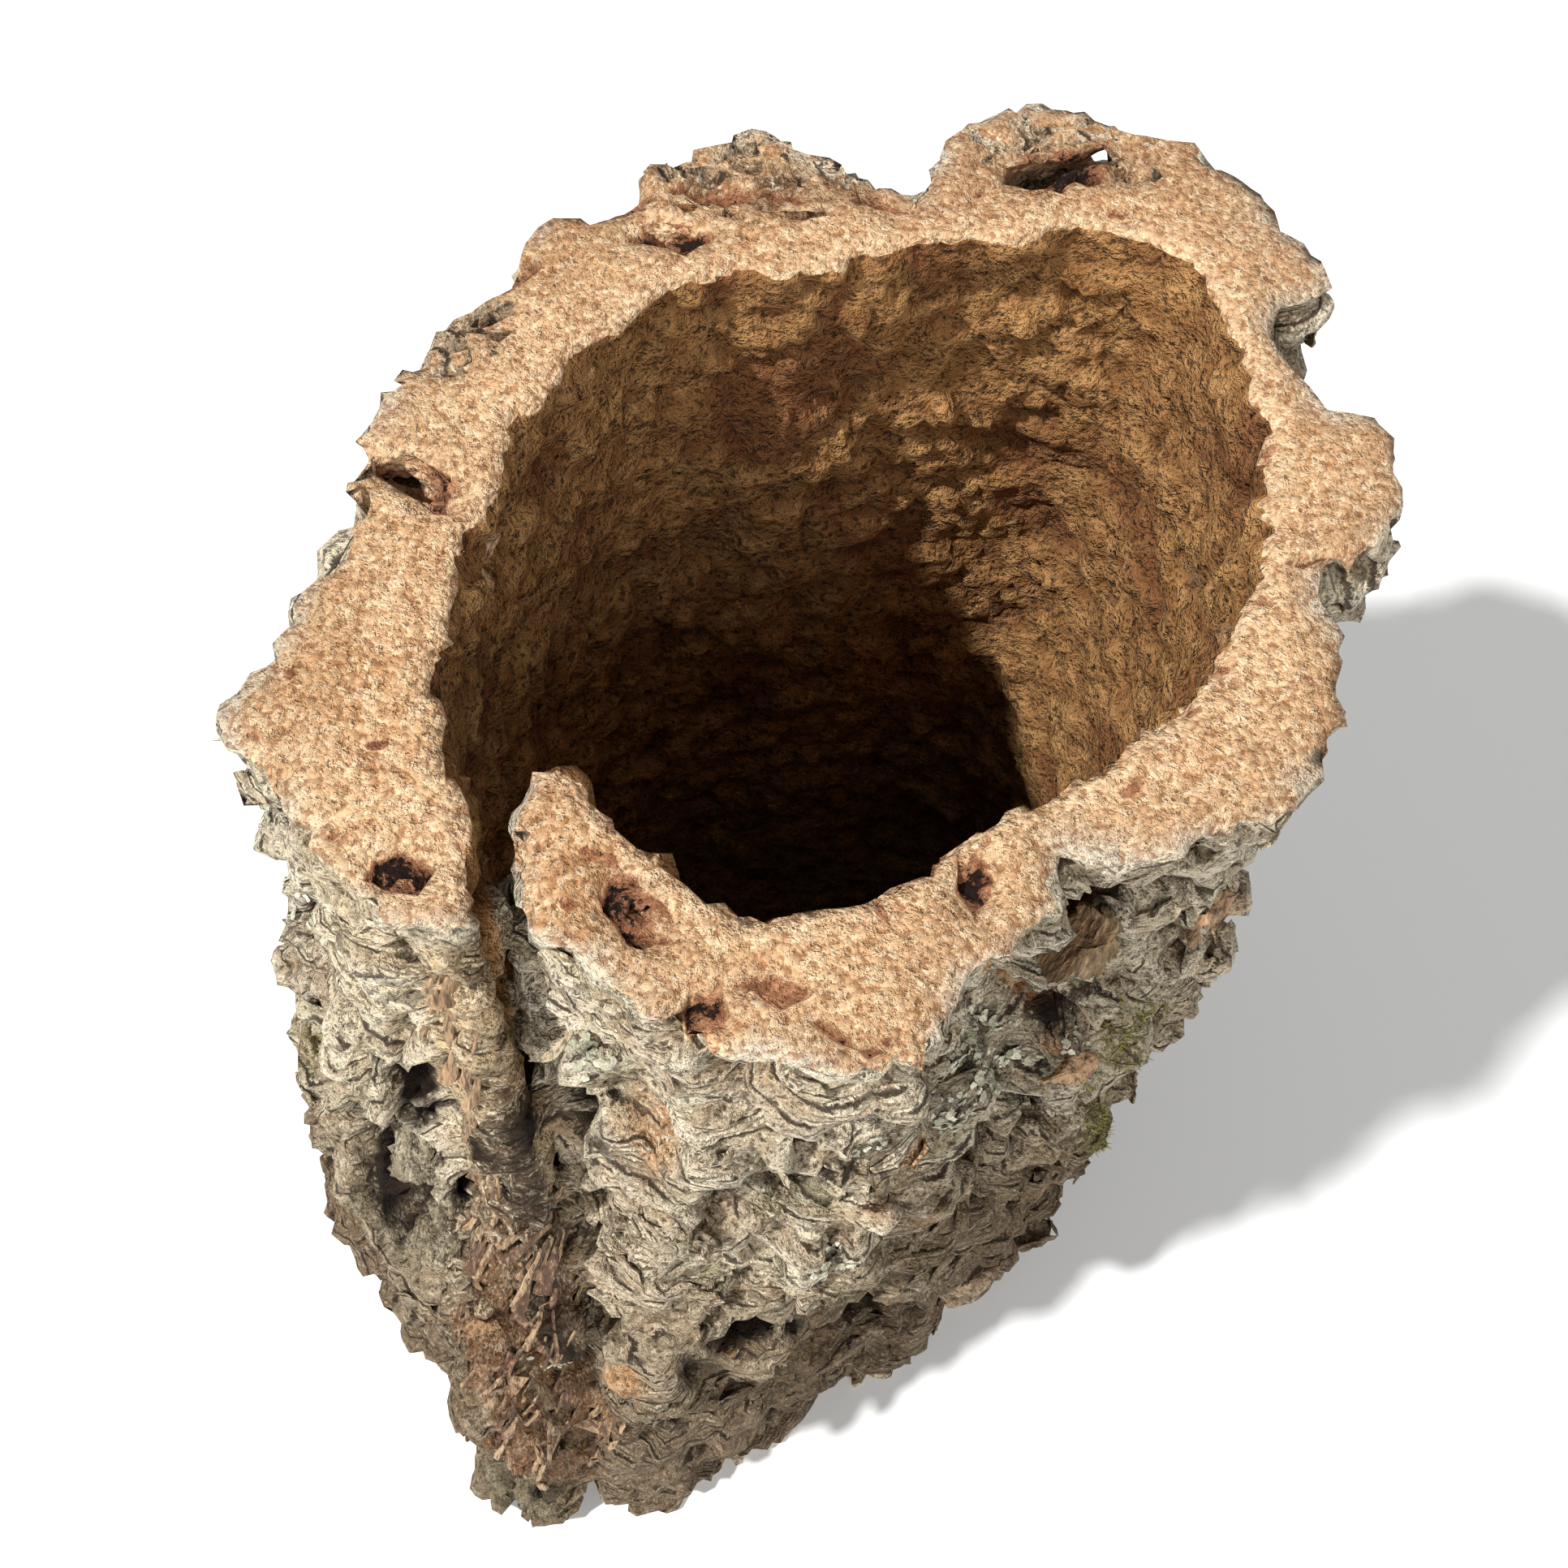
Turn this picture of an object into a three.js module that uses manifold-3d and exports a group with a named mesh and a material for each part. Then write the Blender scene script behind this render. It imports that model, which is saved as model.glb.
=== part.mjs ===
// A hollow cork branch: the bark of a cork oak limb, stripped whole as a tube that is split down one side.
// The tube stands on its lower saw cut and is open at both ends. The bark grew as one piece, so it is one
// solid. Millimetres, +Z up. The origin is on the ground under the middle of the tube. The split faces -Y,
// on the left.
import * as THREE from "three";
import { mergeVertices } from "three/addons/utils/BufferGeometryUtils.js";
import Module from "manifold-3d";

const TUBE_HEIGHT = 350;

// The tube is built ring by ring. Each ring follows the bark from the left lip of the split, round the back
// and the front to the flap that curls into the split, and then comes back round the bore.
const RINGS = 30;
const BORE_STEPS = 33;

// Stretches of the bark's outline at the upper and at the lower saw cut. The same number of steps on both
// makes each furrow run straight down. The base flares at the front left, into two feet beside the split.
const BARK_STRETCHES = [
  {
    name: "left front, from the lip of the split",
    steps: 12,
    top: [
      [-56, -98], [-61, -104], [-71, -101], [-79, -97], [-87, -93], [-92, -86], [-101, -79], [-107, -73],
      [-110, -66],
    ],
    bottom: [
      [-40, -136], [-47, -148], [-60, -154], [-72, -150], [-77, -136], [-83, -118], [-98, -106], [-112, -92],
      [-121, -72],
    ],
  },
  {
    name: "left side",
    steps: 12,
    top: [[-110, -66], [-105, -55], [-104, -46], [-100, -29], [-101, -20], [-99, -3], [-96, 16], [-91, 22]],
    bottom: [[-121, -72], [-118, -52], [-110, -35], [-107, -14], [-104, 6], [-100, 26]],
  },
  {
    name: "back left",
    steps: 8,
    top: [[-91, 22], [-85, 35], [-79, 46], [-78, 57], [-71, 66], [-61, 69]],
    bottom: [[-100, 26], [-93, 44], [-85, 60], [-74, 73], [-66, 80]],
  },
  {
    name: "torn bark at the back",
    steps: 13,
    top: [
      [-61, 69], [-56, 73], [-57, 83], [-47, 90], [-37, 94], [-38, 100], [-31, 102], [-22, 95], [-11, 93],
      [-3, 88], [3, 85],
    ],
    bottom: [[-66, 80], [-58, 89], [-42, 92], [-28, 100], [-12, 97], [0, 94]],
  },
  {
    name: "lobe at the back",
    steps: 14,
    top: [
      [3, 85], [7, 93], [9, 104], [17, 114], [28, 120], [39, 119], [48, 120], [56, 114], [66, 114], [76, 104],
      [83, 91],
    ],
    bottom: [[0, 94], [8, 99], [20, 108], [38, 113], [56, 107], [70, 100], [82, 88]],
  },
  {
    name: "right side",
    steps: 17,
    top: [
      [83, 91], [92, 84], [97, 74], [91, 69], [83, 66], [83, 56], [88, 51], [93, 40], [101, 40], [108, 40],
      [110, 31], [110, 19], [104, 8], [97, 2], [90, -1],
    ],
    bottom: [[82, 88], [91, 72], [97, 52], [106, 34], [105, 14], [98, -6]],
  },
  {
    name: "right front",
    steps: 12,
    top: [
      [90, -1], [91, -9], [97, -20], [98, -31], [93, -43], [87, -50], [81, -60], [70, -64], [60, -71],
      [43, -69],
    ],
    bottom: [[98, -6], [101, -24], [96, -43], [85, -57], [74, -66], [64, -78]],
  },
  {
    name: "front",
    steps: 19,
    top: [
      [43, -69], [43, -80], [38, -91], [28, -97], [25, -107], [25, -118], [15, -116], [7, -120], [-4, -115],
      [-13, -119], [-22, -114], [-29, -107], [-40, -104], [-49, -100],
    ],
    bottom: [
      [64, -78], [50, -94], [36, -99], [25, -109], [12, -119], [0, -130], [-10, -139], [-22, -145],
      [-31, -143], [-39, -135],
    ],
  },
  {
    name: "flap in the split",
    steps: 5,
    inSplit: true,
    top: [[-49, -100], [-53.5, -91], [-56, -82], [-54, -71], [-48, -65]],
    bottom: [[-39, -135], [-46, -125], [-53, -115], [-58, -107]],
  },
];

// The bore at both cuts, from the flap's tip round the front, the right and the back to the left lip.
const BORE_TOP = [
  [-43, -67], [-40, -76], [-32, -81], [-26, -87], [-15, -89], [0, -90], [9, -84], [20, -78], [29, -65],
  [40, -59], [53, -50], [63, -38], [75, -17], [80, 6], [80, 33], [74, 50], [69, 68], [57, 80], [42, 82],
  [24, 76], [6, 70], [-10, 61], [-22, 55], [-36, 54], [-50, 43], [-61, 27], [-68, 8], [-70, -12], [-74, -30],
  [-73, -50], [-67, -66], [-60, -83],
];
const BORE_BOTTOM = [
  [-52, -101], [-43, -103], [-30, -108], [-14, -106], [-2, -97], [12, -87], [26, -76], [38, -66], [50, -55],
  [61, -42], [68, -26], [71, -6], [74, 14], [72, 34], [66, 54], [54, 70], [38, 77], [20, 75], [2, 68],
  [-16, 64], [-34, 60], [-50, 48], [-61, 31], [-69, 10], [-73, -12], [-78, -36], [-80, -60], [-75, -82],
  [-69, -96], [-60, -107],
];

// The tube keeps its lower outline up to the first height and has its upper outline from the second.
const FLARE_ENDS = 70;
const TOP_SHAPE_STARTS = 305;

// The bark is blocky plates between furrows. Each plate is tilted like a shingle and overhangs the next one.
const PLATE_WIDTH = 46;
const PLATE_HEIGHT = 64;
const PLATE_LIFT = 5;
const PLATE_TILT = 10;
const FURROW_DEPTH = 9;
const FURROW_SHARE = 0.34;
const ROUGHNESS = 2;
const OVERHANG = 0.3;

// The relief fades out towards each saw cut, where the outline already holds the plates and furrows.
const RELIEF_FADE_TOP = 26;
const RELIEF_FADE_BOTTOM = 26;

// Steps next to the left lip over which the plates fade, so that the split keeps its gap.
const LIP_STEPS = 4;

// The bore is lumpy, where the bark was torn from the wood.
const BORE_LUMP = 2;
const BORE_LUMP_HEIGHT = 32;

// Places where the bark stands proud or is broken away: a point on the bark, its reach sideways, upwards
// and downwards, and how far it stands out.
const BARK_FEATURES = [
  { name: "open side of the split", at: [-58, -112, 262], reach: [15, 60, 60], out: -8 },
  { name: "broken bark low in the split", at: [-56, -130, 165], reach: [19, 40, 60], out: -10 },
  { name: "ledge left of the split", at: [-84, -95, 262], reach: [24, 44, 10], out: 8 },
  { name: "hollow under the ledge", at: [-82, -100, 244], reach: [14, 8, 12], out: -8 },
  { name: "long grey plates", at: [-110, -84, 165], reach: [26, 64, 70], out: 6 },
  { name: "knot hole right of the split", at: [-37, -111, 292], reach: [9, 9, 9], out: -10 },
  { name: "furrow under the front lobe", at: [22, -116, 302], reach: [20, 9, 14], out: -9 },
  { name: "hole in the front furrow", at: [-3, -120, 276], reach: [11, 9, 10], out: -9 },
  { name: "front plate", at: [10, -122, 232], reach: [24, 30, 12], out: 6 },
  { name: "hollow under the front plate", at: [4, -126, 172], reach: [16, 12, 14], out: -9 },
  { name: "broken hollow at the right", at: [52, -72, 306], reach: [12, 20, 26], out: -9 },
  { name: "hollow under the right rim", at: [95, -38, 302], reach: [22, 30, 30], out: -9 },
  { name: "plate at the right", at: [88, -48, 264], reach: [12, 12, 8], out: 3 },
  { name: "hollow under the left rim", at: [-106, -68, 302], reach: [24, 32, 44], out: -9 },
  { name: "bark below the right notch", at: [86, 60, 312], reach: [14, 16, 60], out: 10 },
  { name: "swelling at the back", at: [20, 116, 210], reach: [30, 50, 34], out: 6 },
  { name: "hollow at the back", at: [-32, 98, 150], reach: [16, 20, 24], out: -8 },
];

// Holes in the upper cut: the middle, how far each reaches both ways, how it is turned and how deep it goes.
const CUT_HOLES = [
  { name: "long hole at the left", at: [-87, -8], half: [8.5, 3.6], turn: -30, depth: 30 },
  { name: "hole by the left lip", at: [-71, -92], half: [3, 2.4], turn: 0, depth: 9 },
  { name: "crumbled pit", at: [-30, -93], half: [6, 3.2], turn: -40, depth: 6 },
  { name: "front hole", at: [-15, -111], half: [3.2, 2.8], turn: 0, depth: 12 },
  { name: "hole by the bore", at: [28, -82], half: [2.6, 4], turn: 10, depth: 11 },
  { name: "crevice at the back left", at: [-46, 65], half: [9, 2.8], turn: 5, depth: 24 },
];
const HOLE_SIDES = 9;
const HOLE_BANDS = 5;

// The slot behind the back lobe, where two layers of bark parted, and the hole that daylight shows through.
const SLOT_OUTLINE = [
  [21, 90], [27, 93], [31, 99], [40, 103], [50, 106], [54, 110], [44, 110], [33, 106], [25, 101],
];
const SLOT_DEPTH = 42;
const LIGHT_HOLE_FROM = [44, 100, 354.5];
const LIGHT_HOLE_TO = [52, 150, 311];
const LIGHT_HOLE_RADIUS = 3;
const LIGHT_HOLE_SIDES = 8;

const { lerp, smoothstep, degToRad } = THREE.MathUtils;

// A repeatable number from 0 to 1 for one cell of a pattern.
function chance(column, row, salt) {
  const mixed = Math.sin(column * 127.1 + row * 311.7 + salt * 74.7) * 43758.5453;
  return mixed - Math.floor(mixed);
}

// Smooth lumps from -1 to 1 over a sheet whose cells have size 1.
function lumps(across, up, salt) {
  const column = Math.floor(across);
  const row = Math.floor(up);
  const aside = smoothstep(across - column, 0, 1);
  const above = smoothstep(up - row, 0, 1);
  const low = lerp(chance(column, row, salt), chance(column + 1, row, salt), aside);
  const high = lerp(chance(column, row + 1, salt), chance(column + 1, row + 1, salt), aside);
  return 2 * lerp(low, high, above) - 1;
}

// How far the bark stands out at a distance along its outline and a height: plates, ledges and furrows.
function plateRelief(along, z) {
  const across = along / PLATE_WIDTH + 0.3 * Math.sin(z / 48) + 0.3 * lumps(along / 60, z / 60, 5);
  const up = z / PLATE_HEIGHT + 0.35 * Math.sin(along / 37);
  let nearest = Infinity;
  let second = Infinity;
  let lift = 0;
  for (let column = Math.floor(across) - 1; column <= Math.floor(across) + 1; column++) {
    for (let row = Math.floor(up) - 1; row <= Math.floor(up) + 1; row++) {
      const aside = column + 0.2 + 0.6 * chance(column, row, 1) - across;
      const above = row + 0.2 + 0.6 * chance(column, row, 2) - up;
      const distance = Math.hypot(aside, above);
      if (distance < nearest) {
        second = nearest;
        nearest = distance;
        lift = PLATE_LIFT * (chance(column, row, 3) - 0.5) + PLATE_TILT * above;
      } else if (distance < second) {
        second = distance;
      }
    }
  }
  const furrow = 1 - smoothstep(second - nearest, 0, FURROW_SHARE);
  return lift - FURROW_DEPTH * furrow + ROUGHNESS * lumps(along / 17, z / 15, 7);
}

// What the named features add at a point on the bark.
function featureRelief(x, y, z) {
  let out = 0;
  for (const feature of BARK_FEATURES) {
    const [sideways, upwards, downwards] = feature.reach;
    const rise = z - feature.at[2];
    const flat = Math.hypot(x - feature.at[0], y - feature.at[1]) / sideways;
    const high = rise / (rise > 0 ? upwards : downwards);
    out += feature.out * Math.exp(-flat * flat - high * high);
  }
  return out;
}

// Evenly spaced points on a smooth curve through the given ones.
function spaced(outline, steps) {
  const curve = new THREE.SplineCurve(outline.map(([x, y]) => new THREE.Vector2(x, y)));
  return curve.getSpacedPoints(steps);
}

// The whole of the bark's outline at one cut. Each stretch starts where the one before it ends.
function barkOutline(cut) {
  const points = [];
  for (const stretch of BARK_STRETCHES) {
    const from = points.length === 0 ? 0 : 1;
    points.push(...spaced(stretch[cut], stretch.steps).slice(from));
  }
  return points;
}

// How much of the plate relief each point of the bark takes: none in the split, and all of it elsewhere.
function plateShares(count) {
  const flap = BARK_STRETCHES.find((stretch) => stretch.inSplit);
  const lastOutside = count - 1 - flap.steps;
  return Array.from({ length: count }, (_, i) => smoothstep(Math.min(i, lastOutside - i), 0, LIP_STEPS));
}

const barkTop = barkOutline("top");
const barkBottom = barkOutline("bottom");
const boreTop = spaced(BORE_TOP, BORE_STEPS);
const boreBottom = spaced(BORE_BOTTOM, BORE_STEPS);
const plateShare = plateShares(barkTop.length);

// The direction that the bark faces at one point of its outline, taken over a few neighbours.
function facing(outline, i) {
  const before = outline[Math.max(i - 3, 0)];
  const after = outline[Math.min(i + 3, outline.length - 1)];
  return new THREE.Vector2(before.y - after.y, after.x - before.x).normalize();
}

// One ring of the wall at a height, as one closed loop: along the bark, and back along the bore.
function wallRing(z) {
  const share = smoothstep(z, FLARE_ENDS, TOP_SHAPE_STARTS);
  const bark = barkBottom.map((low, i) => low.clone().lerp(barkTop[i], share));
  const bore = boreBottom.map((low, i) => low.clone().lerp(boreTop[i], share));
  const strength = Math.min(
    smoothstep(TUBE_HEIGHT - z, 0, RELIEF_FADE_TOP),
    smoothstep(z, 0, RELIEF_FADE_BOTTOM),
  );
  let along = 0;
  const barkPoints = bark.map((point, i) => {
    if (i > 0) along += point.distanceTo(bark[i - 1]);
    const plates = plateShare[i] * plateRelief(along, z);
    const out = strength * (plates + featureRelief(point.x, point.y, z));
    const moved = point.clone().addScaledVector(facing(bark, i), out);
    return new THREE.Vector3(moved.x, moved.y, z - OVERHANG * out);
  });
  const borePoints = bore.map((point, i) => {
    const fromLips = smoothstep(Math.min(i, bore.length - 1 - i), 0, LIP_STEPS);
    const lump = strength * fromLips * BORE_LUMP * lumps(i * 0.45, z / BORE_LUMP_HEIGHT, 11);
    const moved = point.clone().setLength(point.length() + lump);
    return new THREE.Vector3(moved.x, moved.y, z);
  });
  return [...barkPoints, ...borePoints];
}

// The closed wall: rings joined by quads, and a flat saw cut at each end.
function wallGeometry() {
  const rings = Array.from({ length: RINGS + 1 }, (_, level) => wallRing((TUBE_HEIGHT * level) / RINGS));
  const around = rings[0].length;
  const index = [];
  for (let level = 0; level < RINGS; level++) {
    for (let i = 0; i < around; i++) {
      const next = (i + 1) % around;
      const low = level * around;
      const high = low + around;
      index.push(low + i, high + next, low + next, low + i, high + i, high + next);
    }
  }
  for (const [a, b, c] of THREE.ShapeUtils.triangulateShape(rings[0], [])) index.push(a, c, b);
  const lastRing = RINGS * around;
  for (const [a, b, c] of THREE.ShapeUtils.triangulateShape(rings[RINGS], [])) {
    index.push(lastRing + a, lastRing + b, lastRing + c);
  }
  const geometry = new THREE.BufferGeometry().setFromPoints(rings.flat());
  geometry.setIndex(index);
  return geometry;
}

const manifold = await Module();
manifold.setup();

// A closed geometry as a solid for cutting.
function solidOf(geometry) {
  const bare = geometry.clone();
  bare.deleteAttribute("normal");
  bare.deleteAttribute("uv");
  const merged = mergeVertices(bare, 1e-4);
  const mesh = new manifold.Mesh({
    numProp: 3,
    vertProperties: new Float32Array(merged.attributes.position.array),
    triVerts: new Uint32Array(merged.index.array),
  });
  return new manifold.Manifold(mesh);
}

// A solid as a geometry again.
function geometryOf(solid) {
  const mesh = solid.getMesh();
  const geometry = new THREE.BufferGeometry();
  geometry.setAttribute("position", new THREE.BufferAttribute(new Float32Array(mesh.vertProperties), 3));
  geometry.setIndex([...mesh.triVerts]);
  return geometry;
}

// A rounded hole that opens in the upper cut.
function holeGeometry(hole) {
  const geometry = new THREE.SphereGeometry(1, HOLE_SIDES, HOLE_BANDS);
  geometry.rotateX(Math.PI / 2);
  geometry.scale(hole.half[0], hole.half[1], hole.depth);
  geometry.rotateZ(degToRad(hole.turn));
  geometry.translate(hole.at[0], hole.at[1], TUBE_HEIGHT);
  return geometry;
}

// The slot behind the back lobe. It runs a little past the cut, so that it opens cleanly.
function slotGeometry() {
  const shape = new THREE.Shape(SLOT_OUTLINE.map(([x, y]) => new THREE.Vector2(x, y)));
  const geometry = new THREE.ExtrudeGeometry(shape, { depth: SLOT_DEPTH + 1, steps: 1, bevelEnabled: false });
  geometry.translate(0, 0, TUBE_HEIGHT - SLOT_DEPTH);
  return geometry;
}

// The hole from the slot out through the lobe's thin skin.
function lightHoleGeometry() {
  const from = new THREE.Vector3(...LIGHT_HOLE_FROM);
  const to = new THREE.Vector3(...LIGHT_HOLE_TO);
  const geometry = new THREE.CylinderGeometry(
    LIGHT_HOLE_RADIUS, LIGHT_HOLE_RADIUS, from.distanceTo(to), LIGHT_HOLE_SIDES,
  );
  const direction = to.clone().sub(from).normalize();
  geometry.applyQuaternion(new THREE.Quaternion().setFromUnitVectors(new THREE.Vector3(0, 1, 0), direction));
  const middle = from.lerp(to, 0.5);
  geometry.translate(middle.x, middle.y, middle.z);
  return geometry;
}

// The wall with its holes cut.
function corkTubeGeometry() {
  let tube = solidOf(wallGeometry());
  for (const hole of CUT_HOLES) tube = tube.subtract(solidOf(holeGeometry(hole)));
  tube = tube.subtract(solidOf(slotGeometry()));
  tube = tube.subtract(solidOf(lightHoleGeometry()));
  const geometry = geometryOf(tube);
  geometry.computeBoundingBox();
  const middle = geometry.boundingBox.getCenter(new THREE.Vector3());
  geometry.translate(-middle.x, -middle.y, 0);
  return geometry;
}

const corkBark = new THREE.MeshStandardMaterial({ color: 0xa59a86, roughness: 0.95, metalness: 0 });

const corkTube = new THREE.Mesh(corkTubeGeometry(), corkBark);
corkTube.name = "cork_tube";

const group = new THREE.Group();
group.add(corkTube);

export default group;
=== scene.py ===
import math

import bpy
from mathutils import Matrix, Vector


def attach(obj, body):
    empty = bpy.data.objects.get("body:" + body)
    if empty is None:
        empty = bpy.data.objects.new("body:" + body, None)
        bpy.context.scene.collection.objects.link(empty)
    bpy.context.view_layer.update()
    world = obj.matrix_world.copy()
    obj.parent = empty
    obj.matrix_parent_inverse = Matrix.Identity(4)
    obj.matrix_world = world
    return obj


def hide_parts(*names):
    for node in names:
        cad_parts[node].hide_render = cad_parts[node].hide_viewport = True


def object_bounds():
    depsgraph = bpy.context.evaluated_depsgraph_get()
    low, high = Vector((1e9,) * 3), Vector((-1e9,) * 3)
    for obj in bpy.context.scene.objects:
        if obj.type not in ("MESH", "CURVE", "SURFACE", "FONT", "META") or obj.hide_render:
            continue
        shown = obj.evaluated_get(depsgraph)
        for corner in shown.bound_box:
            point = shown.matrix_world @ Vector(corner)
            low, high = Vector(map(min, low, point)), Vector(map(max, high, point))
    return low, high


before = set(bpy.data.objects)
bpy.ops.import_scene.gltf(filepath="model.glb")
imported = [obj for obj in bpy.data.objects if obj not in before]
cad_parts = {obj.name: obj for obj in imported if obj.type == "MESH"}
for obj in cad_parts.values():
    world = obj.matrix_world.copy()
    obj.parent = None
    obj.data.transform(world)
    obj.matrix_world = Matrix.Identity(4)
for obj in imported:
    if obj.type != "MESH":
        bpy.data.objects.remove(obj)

cad_low, cad_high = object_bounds()

# The cork tube
# The whole bark of a cork oak limb: weathered grey outside, sawn peach tan at both ends, torn golden brown
# inside. It grew as one piece, so it is one closed mesh: the solid in a fine grid, its skin shifted twice.
# The first shift gives ledges, cracks, holes and lumps, the second layers, grain and crumb.
MM = 0.001
HEIGHT = cad_high.z / MM
BORE_AXIS = (7.0, 6.0, 0.0)
# Longer than the wall is thick, in any place.
PAST_WALL = 60.0
# The grids on which the coarse and the fine form are made, and the triangles that the finished skin may have.
COARSE_GRID = 1.6
FINE_GRID = 1.2
BARK_TRIANGLES = 196000
# How thick the layers are that weather shows as ledges, as shelves on these and as single years.
LEDGE = 10.4
SHELF = 3.9
YEAR = 1.3
# The broadest lumps of the bark, along x, y and z.
BROAD = (34.0, 34.0, 26.0)


class Field:
    """A number or a direction that varies over the piece, so that forms and finishes read as formulas."""

    def __init__(self, socket):
        self.socket = socket
        self.tree = socket.id_data
        self.directed = socket.type in ("VECTOR", "RGBA")

    def math(self, operation, *others):
        values = (self, *others)
        directed = any(value.directed if isinstance(value, Field) else isinstance(value, tuple)
                       for value in values)
        kind = "ShaderNodeVectorMath" if directed else "ShaderNodeMath"
        made = self.tree.nodes.new(kind)
        made.operation = operation
        for socket, value in zip(made.inputs, values):
            plug(socket, value)
        scalar = directed and operation in ("LENGTH", "DOT_PRODUCT", "DISTANCE")
        return Field(made.outputs["Value" if scalar or not directed else "Vector"])

    def __add__(self, other):
        return self.math("ADD", other)

    def __sub__(self, other):
        return self.math("SUBTRACT", other)

    def __mul__(self, other):
        return self.math("MULTIPLY", other)

    def __truediv__(self, other):
        return self.math("DIVIDE", other)

    def __radd__(self, other):
        return self.math("ADD", other)

    def __neg__(self):
        return self.math("MULTIPLY", -1.0)

    def __rsub__(self, other):
        return (-self).math("ADD", other)

    def __abs__(self):
        return self.math("ABSOLUTE")

    def __gt__(self, other):
        return self.math("GREATER_THAN", other)

    def __lt__(self, other):
        return self.math("LESS_THAN", other)

    def least(self, other):
        return self.math("MINIMUM", other)

    def most(self, other):
        return self.math("MAXIMUM", other)

    def floor(self):
        return self.math("FLOOR")

    def part(self):
        return self.math("FRACT")

    def length(self):
        return self.math("LENGTH")

    def along(self, other):
        return self.math("DOT_PRODUCT", other)

    def unit(self):
        return self.math("NORMALIZE")

    def split(self):
        made = self.tree.nodes.new("ShaderNodeSeparateXYZ")
        plug(made.inputs[0], self)
        return [Field(output) for output in made.outputs]


def plug(socket, value):
    """Join a field to a socket, or set the socket to a plain value."""
    if isinstance(value, Field):
        socket.id_data.links.new(value.socket, socket)
    elif socket.type == "VECTOR" and isinstance(value, (int, float)):
        socket.default_value = (value,) * 3
    else:
        socket.default_value = value


def step(tree, kind, *outputs, inputs=None, **settings):
    """One node with its settings and inputs; gives back its outputs as fields."""
    made = tree.nodes.new(kind)
    for name, value in settings.items():
        setattr(made, name, value)
    for name, value in (inputs or {}).items():
        plug(made.inputs[name], value)
    found = [Field(made.outputs[name]) for name in outputs or (0,)]
    return found[0] if len(found) == 1 else found


def vector(x, y, z):
    """A direction or place from its three numbers, of which one at least varies."""
    tree = next(value.tree for value in (x, y, z) if isinstance(value, Field))
    return step(tree, "ShaderNodeCombineXYZ", inputs={"X": x, "Y": y, "Z": z})


def rise(value, start, end):
    """0 before start, 1 past end, and smooth between them."""
    return step(value.tree, "ShaderNodeMapRange", interpolation_type="SMOOTHSTEP",
                inputs={"Value": value, "From Min": start, "From Max": end})


def noise(place, size, detail=2.0, roughness=0.5, w=None):
    """Smooth noise from about -1 to 1, with lumps of a size in millimetres, which may differ by axis."""
    inputs = {"Vector": place / size, "Scale": 1.0, "Detail": detail, "Roughness": roughness}
    if w is not None:
        inputs["W"] = w
    return step(place.tree, "ShaderNodeTexNoise", inputs=inputs, normalize=False,
                noise_dimensions="3D" if w is None else "4D")


def cells(place, size, feature="F1"):
    """Cells of a size in millimetres: how far it is to the nearest cell's middle, or to its edge."""
    return step(place.tree, "ShaderNodeTexVoronoi", "Distance", feature=feature,
                inputs={"Vector": place / size, "Scale": 1.0})


def new_tree(name):
    """A node tree that changes a shape, and the shape that goes into it."""
    tree = bpy.data.node_groups.new(name, "GeometryNodeTree")
    tree.interface.new_socket("Shape", in_out="INPUT", socket_type="NodeSocketGeometry")
    tree.interface.new_socket("Shape", in_out="OUTPUT", socket_type="NodeSocketGeometry")
    return tree, step(tree, "NodeGroupInput")


def finish_tree(tree, shape):
    """The shape that comes out of a node tree."""
    plug(tree.nodes.new("NodeGroupOutput").inputs[0], shape)


def keep_faces(shape, chosen):
    """The chosen faces of a shape, without the others."""
    return step(shape.tree, "GeometryNodeSeparateGeometry", "Selection", domain="FACE",
                inputs={"Geometry": shape, "Selection": chosen})


def near(shape, place):
    """How far a place is from a shape's faces, in millimetres."""
    return step(shape.tree, "GeometryNodeProximity", "Distance", target_element="FACES",
                inputs={"Geometry": shape, "Sample Position": place * MM}) / MM


def meets(shape, place, direction):
    """Whether a line from a place, longer than the wall is thick, meets a shape."""
    return step(shape.tree, "GeometryNodeRaycast", "Is Hit",
                inputs={"Target Geometry": shape, "Source Position": place * MM, "Ray Direction": direction,
                        "Ray Length": PAST_WALL * MM})


def here(tree):
    """The place in millimetres."""
    return step(tree, "GeometryNodeInputPosition") / MM


def away(place):
    """The direction out from the bore, level."""
    return ((place - BORE_AXIS) * (1.0, 1.0, 0.0)).unit()


def skins(solid):
    """The solid's bore faces and its outer bark faces, without the sawn ends. A groove's walls are bark."""
    place = here(solid.tree)
    normal = step(solid.tree, "GeometryNodeInputNormal")
    z = place.split()[2]
    level = (abs(normal.split()[2]) > 0.9) * ((z < 1.0) + (z > HEIGHT - 1))
    outward = away(place)
    covered = meets(solid, place + outward * 2.0, outward)
    in_groove = meets(solid, place - outward * 2.0, -outward) * (place.split()[0] > -30.0)
    in_bore = covered * (1.0 - in_groove) * (normal.along(outward) < 0.2) * (1.0 - level)
    return keep_faces(solid, in_bore), keep_faces(solid, (1.0 - in_bore) * (1.0 - level))


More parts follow.
